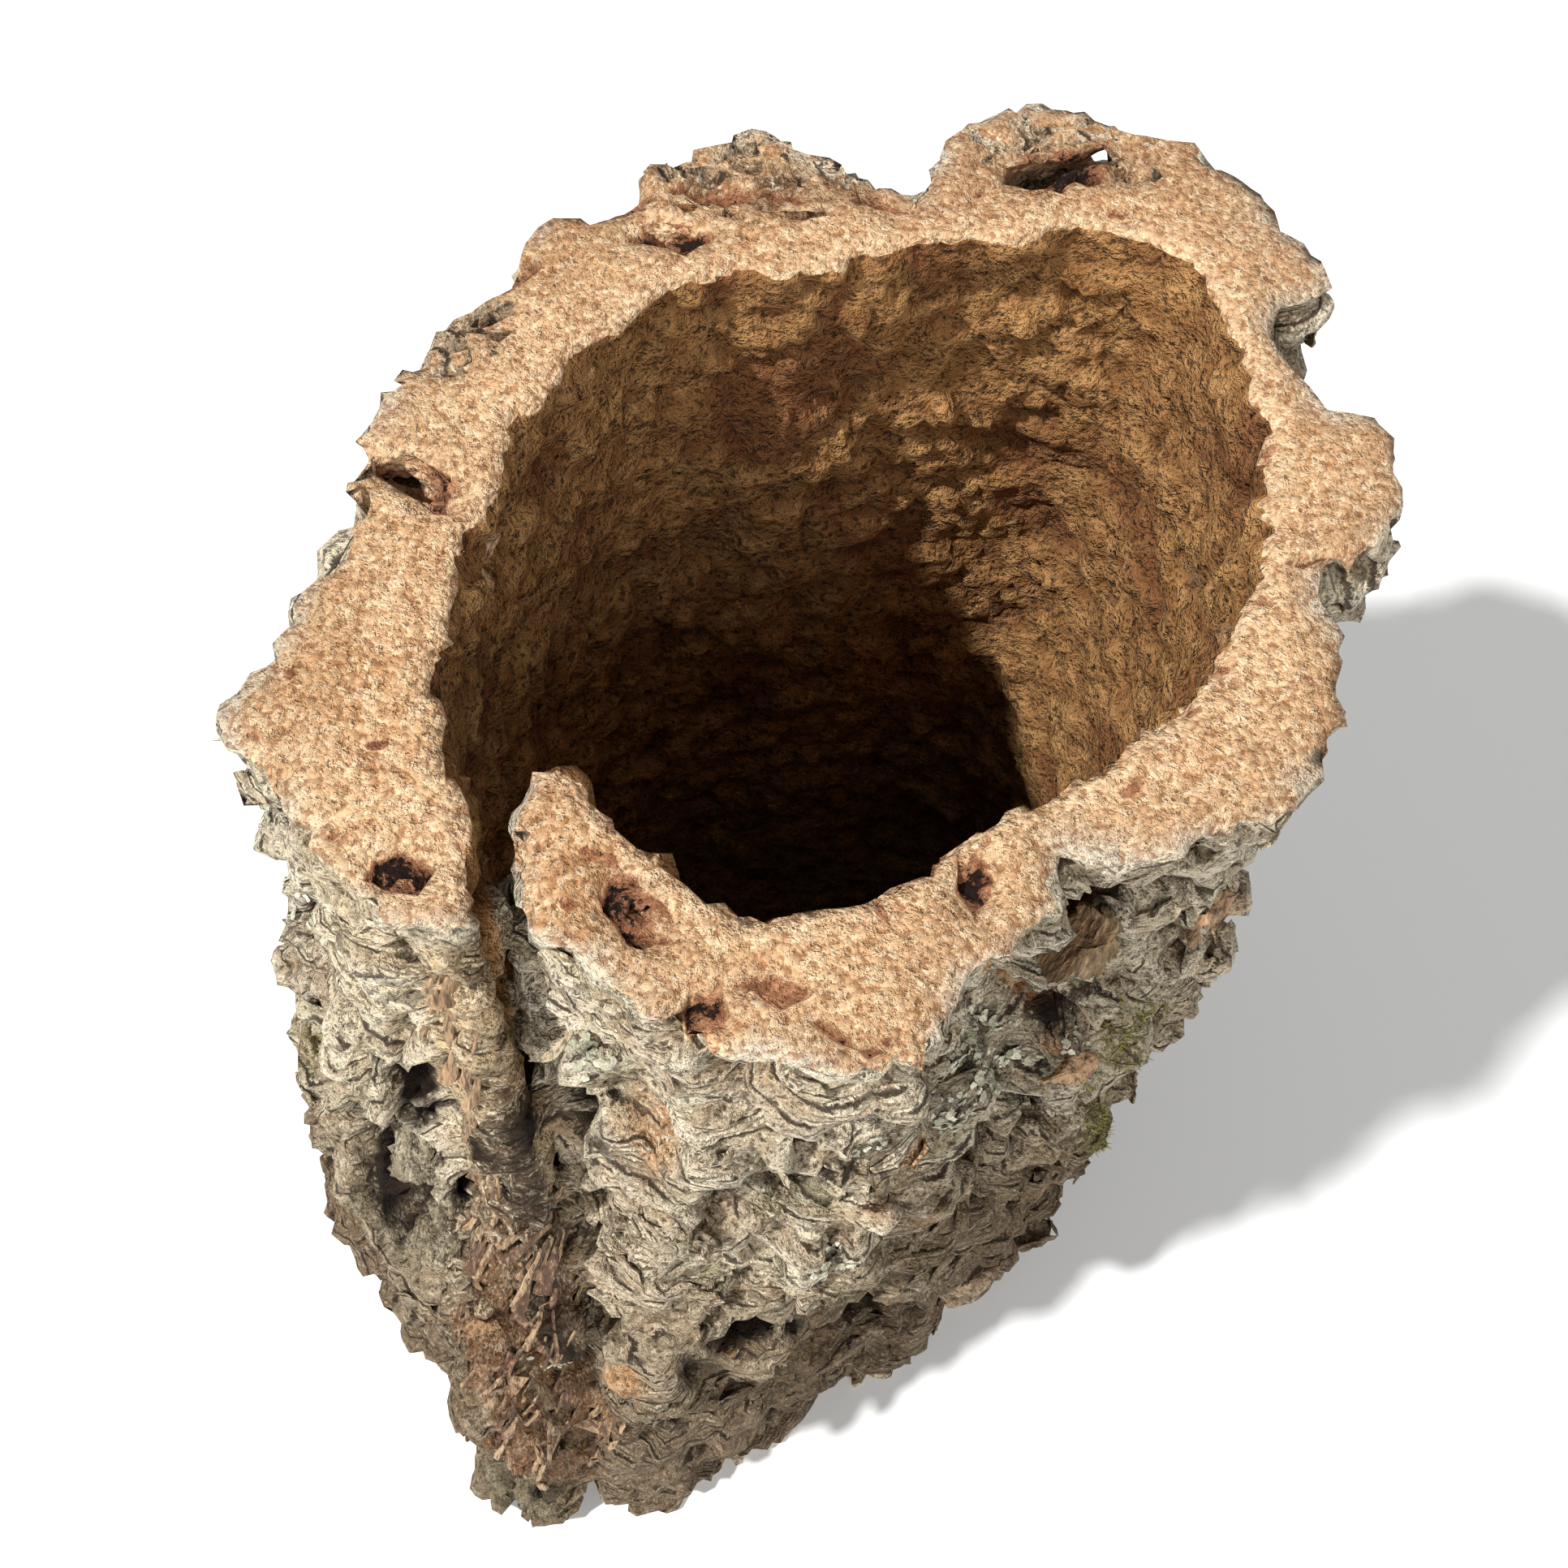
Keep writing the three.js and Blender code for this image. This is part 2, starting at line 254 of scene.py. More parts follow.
# Holes and hollows that beetles, knots and frost left in the bark: middle, reach along x, y and z, and depth.
HOLES = (
    ((-67, -97, 272), (8, 12, 8), 14), ((-69, -90, 341), (4, 5, 3), 5), ((-65, -92, 333), (4, 5, 4), 6),
    ((-35, -93, 271), (7, 12, 9), 16), ((2, -106, 271), (8, 12, 7), 14), ((10, -110, 155), (11, 14, 8), 15),
    ((-62, -99, 212), (2.6, 9, 12), 12), ((-51, -110, 194), (7, 11, 8), 13),
    ((-55, -111, 179), (6, 10, 6), 12), ((-36, -108, 138), (8, 12, 10), 14),
    ((69, -52, 312), (12, 9, 4), 12), ((60, -54, 301), (6, 9, 12), 11), ((64, -56, 257), (9, 11, 8), 11),
    ((66, -64, 222), (5, 9, 6), 9), ((74, -62, 226), (4, 8, 5), 8), ((40, -92, 215), (8, 11, 6), 10),
    ((-16, -122, 190), (9, 10, 5), 9), ((-88, -88, 205), (2.2, 8, 9), 9), ((30, -100, 120), (9, 12, 7), 12),
    ((58, -78, 170), (8, 12, 7), 11), ((-8, -120, 100), (9, 12, 6), 11), ((-68, -97, 258), (10, 10, 5), 9),
    ((-90, -84, 178), (2.2, 10, 20), 11), ((-79, -94, 188), (2.0, 10, 19), 10),
    ((-70, -95, 228), (2.2, 10, 12), 11), ((47, -84, 97), (9, 11, 7), 10), ((30, -106, 198), (9, 9, 4), 7),
    ((62, -62, 166), (7, 9, 6), 9), ((24, -104, 148), (5, 10, 9), 8), ((79, -44, 309), (9, 9, 3), 8),
    ((66, -60, 233), (5, 9, 4), 7), ((77, -62, 166), (8, 9, 6), 8), ((-37, -130, 84), (5, 9, 12), 9),
    ((98, 20, 250), (12, 7, 8), 10), ((104, -10, 140), (12, 8, 9), 11), ((-100, 10, 240), (12, 8, 9), 10),
    ((-102, -40, 130), (12, 8, 10), 11), ((-60, 92, 200), (9, 12, 9), 11), ((30, 125, 180), (9, 12, 8), 11),
    ((84, 98, 90), (11, 11, 9), 11), ((-30, 108, 110), (9, 12, 8), 10), ((60, 122, 270), (8, 11, 7), 9),
)
# Pores, brown cracks and pits of the sawn face: middle, half length, half width, turn in degrees, depth.
PORES = (
    (-79, 5, 13, 4, -25, 3.0), (-64, -78, 6, 4, 0, 3.0), (-78, -73, 3, 2, 40, 2.0),
    (-73, -53, 5, 3, 20, 1.2), (-24, -79, 11, 5, -42, 2.6), (-31, -70, 4, 3, 0, 1.4),
    (-35, -80, 3, 2, 30, 1.6), (-8, -97, 5, 4, 10, 2.8), (1, -91, 9, 3.2, -8, 1.6),
    (13, -97, 9, 1.4, -27, 2.4), (22, -97, 2.4, 1.6, 0, 2.0), (19, -73, 5, 2, -60, 1.6),
    (35, -67, 6, 3.6, -75, 3.0), (33, -60, 3, 2.4, 0, 1.2), (62, -42, 4.5, 3, 30, 1.6),
    (73, -24, 4, 2.6, 60, 1.0), (77, -15, 3, 1.6, 40, 1.0), (86, 2, 3.4, 1.8, 20, 1.0),
    (-85, -26, 3, 2, 0, 0.8), (-71, -14, 4, 2, 70, 0.8), (-39, 77, 10, 4, 4, 3.0),
    (-68, 62, 9, 1.6, 48, 2.2), (44, 113, 19, 7, 30, 3.0), (-28, 93, 22, 3, 5, 2.4),
    (-50, 84, 9, 2, 30, 2.2), (2, 96, 10, 2, -20, 2.0), (98, 14, 9, 1.4, 15, 2.4),
    (-92, -40, 4, 1.5, 80, 1.2), (56, 100, 5, 2, -30, 0.9), (66, 88, 3, 1.6, 10, 0.9),
    (-62, 40, 3, 1.6, 60, 0.9), (88, 40, 3, 1.5, 80, 0.9),
)
# Where the rim broke instead of being sawn clean: middle and reach.
BROKEN_RIM = (((-30, 98, 350), (30, 12, 20)), ((44, 118, 350), (22, 10, 20)), ((-78, 48, 350), (10, 16, 20)))
# Where the bark has lately broken open to fresh tan: middle and reach.
FRESH = (
    ((-18, -95, 278), 7), ((-28, -92, 268), 5), ((36, -89, 271), 7), ((31, -104, 268), 7),
    ((6, -113, 150), 8), ((-22, -119, 147), 6), ((67, -58, 249), 6), ((97, -35, 285), 9),
    ((-12, -104, 230), 5), ((50, -82, 190), 6), ((-100, 30, 200), 9), ((100, 50, 180), 10),
    ((0, 112, 150), 10), ((-70, 80, 260), 8), ((95, -30, 80), 9),
)
# The torn cork along the split: middle and reach along x, y and z.
TORN_CORK = (
    ((-52, -89, 300), (11, 10, 50)), ((-50, -98, 235), (12, 16, 40)), ((-48, -108, 190), (16, 20, 34)),
    ((-48, -118, 150), (20, 24, 34)), ((-42, -124, 105), (20, 22, 34)), ((-36, -128, 60), (12, 12, 30)),
)
# What is left of the torn bark inside the split, which closes it from below: middle and half size.
SPLIT_FILL = (
    ((-50.5, -84.5, 329), (2.4, 3.2, 21)), ((-52, -86.5, 308), (4.6, 4.6, 30)),
    ((-51.5, -89, 282), (7, 6, 34)), ((-49, -92, 250), (8.2, 7, 36)), ((-47, -96, 214), (10, 8, 34)),
    ((-44, -101, 180), (10, 9, 36)), ((-40, -108, 142), (10, 9, 38)), ((-38, -114, 102), (9, 9, 38)),
    ((-36, -118, 62), (7, 7, 34)),
)
# The smooth buff lobe left of the split, and the paler bark right of the front lobe: middle and reach.
BUFF_LOBE = ((-76, -82, 302), (34, 30, 50))
PALE_SIDE = ((64, -62, 270), (36, 28, 95))
# Long upright grain, on the left foot and under the left ledge.
UPRIGHT_GRAIN = (
    ((-84, -90, 195), (24, 20, 52)), ((-56, -136, 60), (24, 16, 62)), ((-80, -110, 110), (14, 16, 34)),
)
# Patches of lichen: middle and reach.
LICHEN_PATCHES = (
    ((49, -62, 262), (11, 12, 17)), ((56, -56, 240), (9, 8, 9)), ((44, -76, 250), (9, 9, 13)),
    ((57, -55, 259), (3, 5, 3)), ((71, -53, 251), (3, 5, 3)), ((65, -58, 234), (3, 5, 3)),
    ((27, -98, 288), (7, 8, 7)), ((-95, -66, 294), (9, 9, 13)), ((-29, -88, 293), (5, 8, 5)),
    ((-39, -110, 142), (8, 9, 7)), ((-98, -58, 322), (6, 8, 9)), ((22, -104, 245), (7, 8, 5)),
    ((-95, 25, 290), (12, 10, 16)), ((103, 30, 230), (10, 12, 16)), ((20, 125, 250), (14, 10, 18)),
    ((-60, 88, 130), (12, 12, 18)), ((95, -30, 190), (9, 9, 12)),
)
# Cushions of moss: middle and reach.
MOSS_PATCHES = (
    ((88, -47, 256), (10, 12, 14)), ((86, -53, 236), (8, 10, 12)), ((95, -42, 165), (8, 10, 14)),
    ((-104, -56, 345), (5, 6, 4)), ((-104, -62, 214), (6, 8, 9)), ((100, 70, 120), (10, 10, 16)),
    ((-86, 50, 90), (10, 12, 16)),
)


def spot(place, middle, reach):
    """How near a place is to the middle of a spot: 0 there, 1 at its reach."""
    return ((place - middle) / reach).length()


def strongest(shares):
    """The greatest of several shares at each place."""
    found = shares[0]
    for share in shares[1:]:
        found = found.most(share)
    return found


def in_spots(place, spots, ragged=0.3):
    """How far a place is inside any of the spots, whose edges are ragged."""
    uneven = noise(place, (9.0, 9.0, 16.0), 2.0) * ragged
    return strongest([rise(spot(place, middle, reach) + uneven, 1.05, 0.8) for middle, reach in spots])


def pore_shape(place):
    """How near a place on the sawn face is to a pore, and how deep that pore is."""
    x, y, z = place.split()
    ragged = noise(place, 4.5, 3.0, 0.6) * 0.75
    nearness, sink = [], []
    for middle_x, middle_y, length, width, turn, depth in PORES:
        cos, sin = math.cos(math.radians(turn)), math.sin(math.radians(turn))
        across, along = x - middle_x, y - middle_y
        reach = (vector(across * (cos / length) + along * (sin / length),
                        along * (cos / width) - across * (sin / width), 0.0)).length() + ragged
        deepest = HEIGHT - (26.0 if depth > 2.9 else 6.0)
        nearness.append((1.7 - reach).most(0.0).least(1.7) * rise(z, deepest, deepest + 3.0))
        sink.append(rise(reach, 1.05, 0.3) * depth)
    return strongest(nearness), strongest(sink)


def layer_count(place, growth, thickness):
    """Which yearly layer a place is in. The layers end on the bark as level, wavy lines."""
    warp = noise(place, (48.0, 48.0, 38.0), 1.0) * 17.0 + noise(place, (14.0, 14.0, 10.0), 1.0) * 1.7
    return (growth * 0.12 + place.split()[2] * 0.95 + warp) / thickness


def bark_relief(place, growth):
    """How far weather has eaten into the bark, in millimetres: layer by layer, along cracks and in holes."""
    dents = abs(noise(place, (15.0, 15.0, 11.0), 2.0)) * 2.6
    lumps = noise(place, BROAD, 2.0) * 3.4 - dents + 0.9
    layer = layer_count(place, growth, LEDGE)
    edges = noise(place, (30.0, 30.0, 24.0), 2.0, w=layer.floor() * 7.31) * 7.0
    gap = rise(abs(layer.part() - 0.5), 0.4, 0.5) * 2.4
    gap = gap + (layer.part() - 0.5) * rise(noise(place + 50.0, 26.0, 2.0), -0.5, 0.2) * 6.5
    plates = cells(place + noise(place, 14.0, 2.0) * 8.0, (25.0, 25.0, 30.0), "DISTANCE_TO_EDGE")
    cracks = rise(plates, 0.12, 0.0) * rise(noise(place, 26.0), -0.15, 0.2) * 10.0
    slats = cells(place + noise(place, (14.0, 14.0, 40.0)) * 5.0, (11.0, 11.0, 75.0), "DISTANCE_TO_EDGE")
    upright = in_spots(place, UPRIGHT_GRAIN)
    cracks = pick(cracks, rise(slats, 0.24, 0.02) * rise(noise(place, 18.0), -0.6, -0.1) * 11.0, upright)
    ragged = noise(place, 6.0, 2.0) * 0.3
    holes = strongest([rise(spot(place, middle, reach) + ragged, 1.15, 0.6) * (depth * 1.25)
                       for middle, reach, depth in HOLES])
    calm = rise(spot(place, *BUFF_LOBE), 0.7, 1.0) * 0.55 + 0.45
    whole = (lumps + (edges + gap).most(-3.2) * (1.0 - upright * 0.8)) * calm
    return whole * rise(holes, 6.0, 0.0) + cracks.most(holes)


def bore_relief(place):
    """How far the bore's wall is eaten in, in millimetres, between its lumps and knobs."""
    lumps = noise(place, (17.0, 17.0, 13.0), 3.0, 0.6) * 3.8
    knobs = rise(cells(place, (15.0, 15.0, 13.0)), 0.42, 0.1) * rise(noise(place, 30.0), -0.15, 0.15) * -3.2
    return lumps + knobs + 0.6


def new_solid(tree):
    """The solid as it was before weather ate into it."""
    return step(tree, "GeometryNodeObjectInfo", "Geometry", inputs={"Object": solid_form})


def move(shape, offset):
    """A shape with each of its corners shifted, in millimetres."""
    return step(shape.tree, "GeometryNodeSetPosition", inputs={"Geometry": shape, "Offset": offset * MM})


def blurred(place, rounds):
    """The mean place of the corners around each corner, over several rounds."""
    return step(place.tree, "GeometryNodeBlurAttribute", data_type="FLOAT_VECTOR",
                inputs={"Value": place, "Iterations": rounds})


def keep(shape, name, value, kind="FLOAT"):
    """Store a field on the mesh under a name, and give it back as stored."""
    shape = step(shape.tree, "GeometryNodeStoreNamedAttribute", data_type=kind, domain="POINT",
                 inputs={"Geometry": shape, "Name": name, "Value": value})
    return shape, step(shape.tree, "GeometryNodeInputNamedAttribute", data_type=kind, inputs={"Name": name})


def colour(red, green, blue):
    """A colour given as the eye sees it, from 0 to 255."""
    return tuple((value / 255) ** 2.2 for value in (red, green, blue)) + (1.0,)


def tone(first, second, share):
    """From the first colour to the second, by a share."""
    return step(share.tree, "ShaderNodeMix", 2, data_type="RGBA", inputs={0: share, 6: first, 7: second})


def pick(first, second, share):
    """From the first number or direction to the second, by a share."""
    if isinstance(second, tuple):
        return step(share.tree, "ShaderNodeMix", 1, data_type="VECTOR",
                    inputs={0: share, 4: first, 5: second})
    return step(share.tree, "ShaderNodeMix", 0, data_type="FLOAT", inputs={0: share, 2: first, 3: second})


def bark_tones(place, broad, small, depth, hollow, torn, upright):
    """The bark's low tones: grey and whitish, buff at the left, browner at the foot, with painted highlight
    on the crests and painted shade in the hollows and holes.
    """
    z = place.split()[2]
    shown = tone(colour(168, 145, 114), colour(240, 221, 188), rise(broad + small * 0.9, -0.45, 0.5))
    tan = rise(noise(place + 90.0, (20.0, 20.0, 12.0), 3.0), 0.05, 0.45)
    shown = tone(shown, colour(206, 178, 142), tan * 0.8)
    olive = rise(noise(place - 70.0, (17.0, 17.0, 13.0), 3.0), 0.15, 0.55)
    shown = tone(shown, colour(160, 156, 116), olive * 0.5)
    shown = tone(shown, colour(228, 206, 168), rise(spot(place, *BUFF_LOBE), 1.0, 0.7) * 0.9)
    shown = tone(shown, colour(120, 100, 78), rise(z + small * 26.0, 250.0, 80.0) * 0.85)
    shown = tone(shown, colour(206, 190, 160), rise(spot(place, *PALE_SIDE), 1.0, 0.6) * 0.75)
    shown = tone(shown, colour(64, 57, 43), in_spots(place, LICHEN_PATCHES, 0.6) * 0.85)
    shown = tone(shown, colour(112, 106, 50), in_spots(place, MOSS_PATCHES, 0.5) * 0.8)
    shown = tone(shown, colour(150, 138, 108), upright * 0.6)
    # Paler on the convex crests, more so towards the top: painted highlight.
    crest = rise(hollow + small * 0.3, -0.3, -1.3)
    shown = tone(shown, colour(246, 234, 208), crest * rise(z, 140.0, 330.0) * 0.75)
    fresh = strongest([rise(spot(place, middle, reach) + small * 0.6, 1.0, 0.85) for middle, reach in FRESH])
    shown = tone(shown, colour(204, 156, 110), fresh * 0.95)
    shown = tone(shown, colour(228, 198, 154), torn * rise(z, 200.0, 260.0))
    shown = tone(shown, colour(146, 106, 72), torn * rise(z + small * 30.0, 255.0, 200.0))
    grey_strands = rise(noise(place, (7.0, 7.0, 34.0), 2.0), 0.05, 0.4)
    shown = tone(shown, colour(164, 142, 112), torn * grey_strands * 0.8)
    # Darker where the torn cork is eaten deep: painted shade.
    shown = tone(shown, colour(58, 36, 22), torn * rise(depth, 2.0, 9.0) * rise(z, 255.0, 225.0) * 0.75)
    # Darker in deep cracks, in the holes and in the hollows: painted shade.
    pits = strongest([rise(((place - middle) / reach * 0.55).length() + small * 0.15, 1.05, 0.85)
                      for middle, reach, _ in HOLES])
    shown = tone(shown, colour(54, 39, 27), rise(depth + small * 2.0 + upright, 5.5, 10.0) * 0.92)
    return tone(shown, colour(26, 18, 13), (pits * rise(depth, 3.0, 5.5) + rise(hollow, 0.7, 2.1)).least(1.0))


def weathering():
    """The coarse form: what weather took from the bark, and the lumps of the bore."""
    tree, shape = new_tree("weathering")
    bore, outside = skins(new_solid(tree))
    place = here(tree)
    normal = step(tree, "GeometryNodeInputNormal")
    z = place.split()[2]
    shape, from_bore = keep(shape, "growth", near(bore, place))
    shape, from_outside = keep(shape, "depth", near(outside, place))
    outer = rise(from_bore - from_outside, -4.0, 4.0)
    from_end = z.least(HEIGHT - z)
    on_wall = rise(from_end, 2.0, 12.0)
    near_skin = rise(from_outside.least(from_bore), 7.0, 0.0)
    outward = away(place) * (outer * 2.0 - 1.0)
    direction = (outward + (normal - outward) * on_wall) * vector(1.0, 1.0, on_wall)
    in_torn = in_spots(place, TORN_CORK)
    furrows = rise(abs(noise(place, (6.5, 6.5, 46.0), 3.0, 0.6)), 0.26, 0.0) * 6.5 - 1.5
    torn_relief = furrows * rise(noise(place, 24.0), -0.6, 0.0) * in_torn * rise(z, 285.0, 235.0)
    torn_relief = torn_relief * rise(from_bore, 6.0, 12.0)
    from_bark = outer * bark_relief(place, from_bore) * (1.0 - in_torn * 0.65)
    at_rim = rise(z, HEIGHT - 14.0, HEIGHT - 4.0)
    eaten = from_bark * (1.0 - at_rim * 0.45) + (1.0 - outer) * bore_relief(place)
    droop = vector(0.0, 0.0, outer * on_wall * noise(place, (16.0, 16.0, 9.0), 2.0) * -3.0)
    finish_tree(tree, move(shape, direction * (eaten * near_skin + torn_relief) * -1.0 + droop))
    return tree


def grain():
    """The fine form, and the low tones and layers that the finish needs at each place."""
    tree, shape = new_tree("grain")
    bore, outside = skins(new_solid(tree))
    place = here(tree)
    normal = step(tree, "GeometryNodeInputNormal")
    z = place.split()[2]
    shape, growth = keep(shape, "growth", near(bore, place))
    shape, depth = keep(shape, "depth", near(outside, place))
    shape, hollow = keep(shape, "hollow", (blurred(place, 14) - place).along(normal))
    shape, hollow = keep(shape, "hollow", hollow + (blurred(place, 70) - place).along(normal) * 0.35)
    shape, layer = keep(shape, "layer", layer_count(place, growth, YEAR))
    shape, upright = keep(shape, "upright", in_spots(place, UPRIGHT_GRAIN + TORN_CORK[2:]))
    shape, torn = keep(shape, "torn", in_spots(place, TORN_CORK))
    outer = rise(growth - depth, -2.0, 2.0)
    shape, inner = keep(shape, "inner", 1.0 - outer)
    on_cut = rise(z.least(HEIGHT - z), 2.0, 0.4)

    pore, sink = pore_shape(place)
    shape, pore = keep(shape, "pore", pore)
    shape, sink = keep(shape, "sink", sink)

    shape, broad = keep(shape, "broad", noise(place, BROAD, 3.0))
    shape, small = keep(shape, "small", noise(place, 5.0, 3.0, 0.6))
    broken = strongest([rise(spot(place, middle, reach) + small * 0.4, 1.1, 0.8)
                        for middle, reach in BROKEN_RIM])
    furrow = rise(abs(noise(place, (9.0, 4.0, 6.0), 3.0, 0.6)), 0.1, 0.45)
    broken_tone = tone(colour(214, 174, 132), colour(118, 82, 56), furrow)
    bark_tone = bark_tones(place, broad, small, depth, hollow, torn, upright)
    bark_tone = tone(bark_tone, broken_tone, broken * 0.75)
    bore_tone = tone(colour(146, 101, 60), colour(198, 150, 96), rise(small, -0.4, 0.5))
    bore_tone = tone(bore_tone, colour(122, 74, 46), rise(broad, 0.05, 0.5) * 0.7)
    # Darker in the bore's hollows: painted shade.
    bore_tone = tone(bore_tone, colour(58, 34, 18), rise(hollow + small * 0.4, 0.5, 2.2) * 0.8)
    shape, _ = keep(shape, "wall_tone", tone(bark_tone, bore_tone, inner), "FLOAT_COLOR")

    sawn_tone = tone(colour(220, 178, 134), colour(202, 154, 108), rise(broad, -0.05, 0.45) * 0.8)
    sawn_tone = tone(sawn_tone, colour(190, 146, 106), rise(place.split()[1], 10.0, 110.0) * 0.55)
    sawn_tone = tone(sawn_tone, colour(228, 196, 156), rise(growth, 9.0, 1.0) * 0.5)
    sawn_tone = tone(sawn_tone, colour(176, 112, 72), rise(small, 0.28, 0.6) * 0.55)
    rind = depth + small * 2.2 + pore * 20.0
    sawn_tone = tone(sawn_tone, colour(180, 144, 108), rise(rind, 7.0, 3.5) * 0.6)
    sawn_tone = tone(sawn_tone, colour(212, 200, 178), rise(rind, 2.2, 0.9))
    sawn_tone = tone(sawn_tone, broken_tone, broken * 0.8)
    shape, _ = keep(shape, "sawn_tone", sawn_tone, "FLOAT_COLOR")

    tread = layer_count(place, growth, SHELF)
    shelf = noise(place, (18.0, 18.0, 14.0), 2.0, w=tread.floor() * 5.17) * 3.6 + (0.5 - tread.part()) * 1.7
    shelf = shelf - rise(abs(tread.part() - 0.5), 0.34, 0.5) * 1.1
    streaks = noise(place, (3.0, 3.0, 26.0), 3.0, 0.6) * 2.2 * upright
    worms = (rise(abs(noise(place, 6.0, 2.0)), 0.0, 0.25) - 0.6) * 1.7
    lift = shelf * (1.0 - upright) + streaks + noise(place, (5.0, 5.0, 3.0), 2.0) * 0.8
    lift = outer * lift + inner * (worms + small * 0.8)
    crumb = (0.45 - cells(place + noise(place, 1.5) * 0.6, 2.8)) * 1.25 - sink
    sag = noise(place, 13.0, 2.0) * 0.9 + rise(depth, 7.0, 0.0) * 0.8
    sag = sag + broken * (abs(noise(place, (9.0, 4.0, 6.0), 3.0, 0.6)) * 6.0 + 0.4)
    on_top = rise(z, HEIGHT * 0.4, HEIGHT * 0.6)
    lift = pick(lift, (crumb - 0.35 - sag.most(0.0)) * on_top, on_cut)
    finish_tree(tree, move(shape, normal * lift))
    return tree


def apply(piece, name, kind, **settings):
    """Adds a modifier to the piece in hand and makes what it does part of the mesh."""
    modifier = piece.modifiers.new(name, kind)
    for key, value in settings.items():
        setattr(modifier, key, value)
    bpy.ops.object.modifier_apply(modifier=modifier.name)


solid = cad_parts["cork_tube"]
bpy.ops.object.select_all(action="DESELECT")
bark = bpy.data.objects.new("cork_bark", solid.data.copy())
bpy.context.collection.objects.link(bark)
bpy.context.view_layer.objects.active = bark
bark.select_set(True)
bark.data.materials.clear()
bpy.ops.object.mode_set(mode="EDIT")
bpy.ops.mesh.select_all(action="SELECT")
bpy.ops.mesh.remove_doubles(threshold=0.001 * MM)
bpy.ops.object.mode_set(mode="OBJECT")
solid_form = bpy.data.objects.new("solid form", bark.data.copy())
bpy.context.collection.objects.link(solid_form)
bpy.ops.object.mode_set(mode="EDIT")
for middle, half_size in SPLIT_FILL:
    bpy.ops.mesh.primitive_uv_sphere_add(segments=12, ring_count=8, radius=1.0, location=Vector(middle) * MM,
                                         scale=Vector(half_size) * MM)
bpy.ops.mesh.select_all(action="DESELECT")
bpy.ops.mesh.select_mode(type="EDGE")
bpy.ops.mesh.edges_select_sharp(sharpness=math.radians(70))
bpy.ops.transform.edge_crease(value=1.0)
bpy.ops.object.mode_set(mode="OBJECT")
apply(bark, "rounding", "SUBSURF", levels=2, render_levels=2)
apply(bark, "coarse skin", "REMESH", mode="VOXEL", voxel_size=COARSE_GRID * MM)
apply(bark, "weathering", "NODES", node_group=weathering())
apply(bark, "fine skin", "REMESH", mode="VOXEL", voxel_size=FINE_GRID * MM)
apply(bark, "grain", "NODES", node_group=grain())
# Each face of the grid is two triangles, and a little is left over for the thinning.
triangles = 2.03 * len(bark.data.polygons)
apply(bark, "thinning", "DECIMATE", ratio=min(1.0, BARK_TRIANGLES / triangles))
bpy.ops.object.shade_smooth()


def new_finish(name):
    """A material, its own shader and the place in millimetres."""
    material = bpy.data.materials.new(name)
    material.use_nodes = True
    tree = material.node_tree
    place = step(tree, "ShaderNodeTexCoord", "Object") / MM
    return material, tree.nodes["Principled BSDF"], place


def stored(place, name, output="Fac"):
    """What was stored on the mesh under a name, for a finish."""
    return step(place.tree, "ShaderNodeAttribute", output, attribute_name=name)


def rough(shader, place, height, strength):
    """Relief too fine for the mesh, from a height in millimetres."""
    plug(shader.inputs["Normal"], step(place.tree, "ShaderNodeBump", "Normal",
                                       inputs={"Strength": strength, "Distance": MM, "Height": height}))


cork, shader, place = new_finish("cork")
z = place.split()[2]
upright = stored(place, "upright") > 0.5
inner = stored(place, "inner") > 0.5
outer = 1.0 - inner
pore = stored(place, "pore")
small = stored(place, "small")
sawn = ((z.least(HEIGHT - z) < 1.9) + (pore > 0.35)) > 0.5

grain_size = (0.66, 0.66, 1.0) + upright * (0.5, 0.5, -0.88) + inner * (-0.2, -0.2, -0.5)
fine = noise(place * grain_size, 1.0, 3.0, 0.68)
cell_size = pick(grain_size * 0.45, (0.64, 0.64, 0.64), sawn)
edge, shade = step(place.tree, "ShaderNodeTexVoronoi", "Distance", "Color", feature="F1",
                   inputs={"Vector": place * cell_size + fine * pick(0.3, 0.5, sawn), "Scale": 1.0})
shade = shade.split()[0]
layer = stored(place, "layer") + fine * 0.3
band = step(place.tree, "ShaderNodeTexWhiteNoise", "Value", noise_dimensions="1D",
            inputs={"W": layer.floor()})

# Lines between the yearly layers, and a wider gap at every third one: the bump below sinks them into grooves.
line = rise(abs(layer.part() - 0.5), 0.26, 0.46) * rise(fine * 0.6 + small, -0.3, 0.4)
gap = rise(abs((layer / 3.0).part() - 0.5), 0.38, 0.47) * rise(fine * 0.5 + small, -0.5, 0.0)
line = (line * 0.8).most(gap) * (1.0 - upright)
bark_shown = stored(place, "wall_tone", "Color")
lit = rise(bark_shown.split()[1], 0.012, 0.12)
# Raised parts of the fine relief made paler, more so towards the top: painted highlight.
crest = rise(fine + band * 0.5 + shade * 0.4, 0.45, 1.15)
crest_highlight_share = pick(0.75, 0.25, rise(z, 240.0, 110.0))
bark_shown = tone(bark_shown, colour(254, 238, 206), crest * outer * lit * crest_highlight_share)
brown_layer = rise(band, 0.8, 0.95) * outer * (1.0 - upright)
bark_shown = tone(bark_shown, colour(150, 118, 86), brown_layer * lit * 0.4)
# Painted shade in those grooves and along the cell edges.
bark_shown = tone(bark_shown, colour(54, 38, 25), (line * 0.92).most(rise(edge, 0.6, 0.9) * 0.55) * outer)
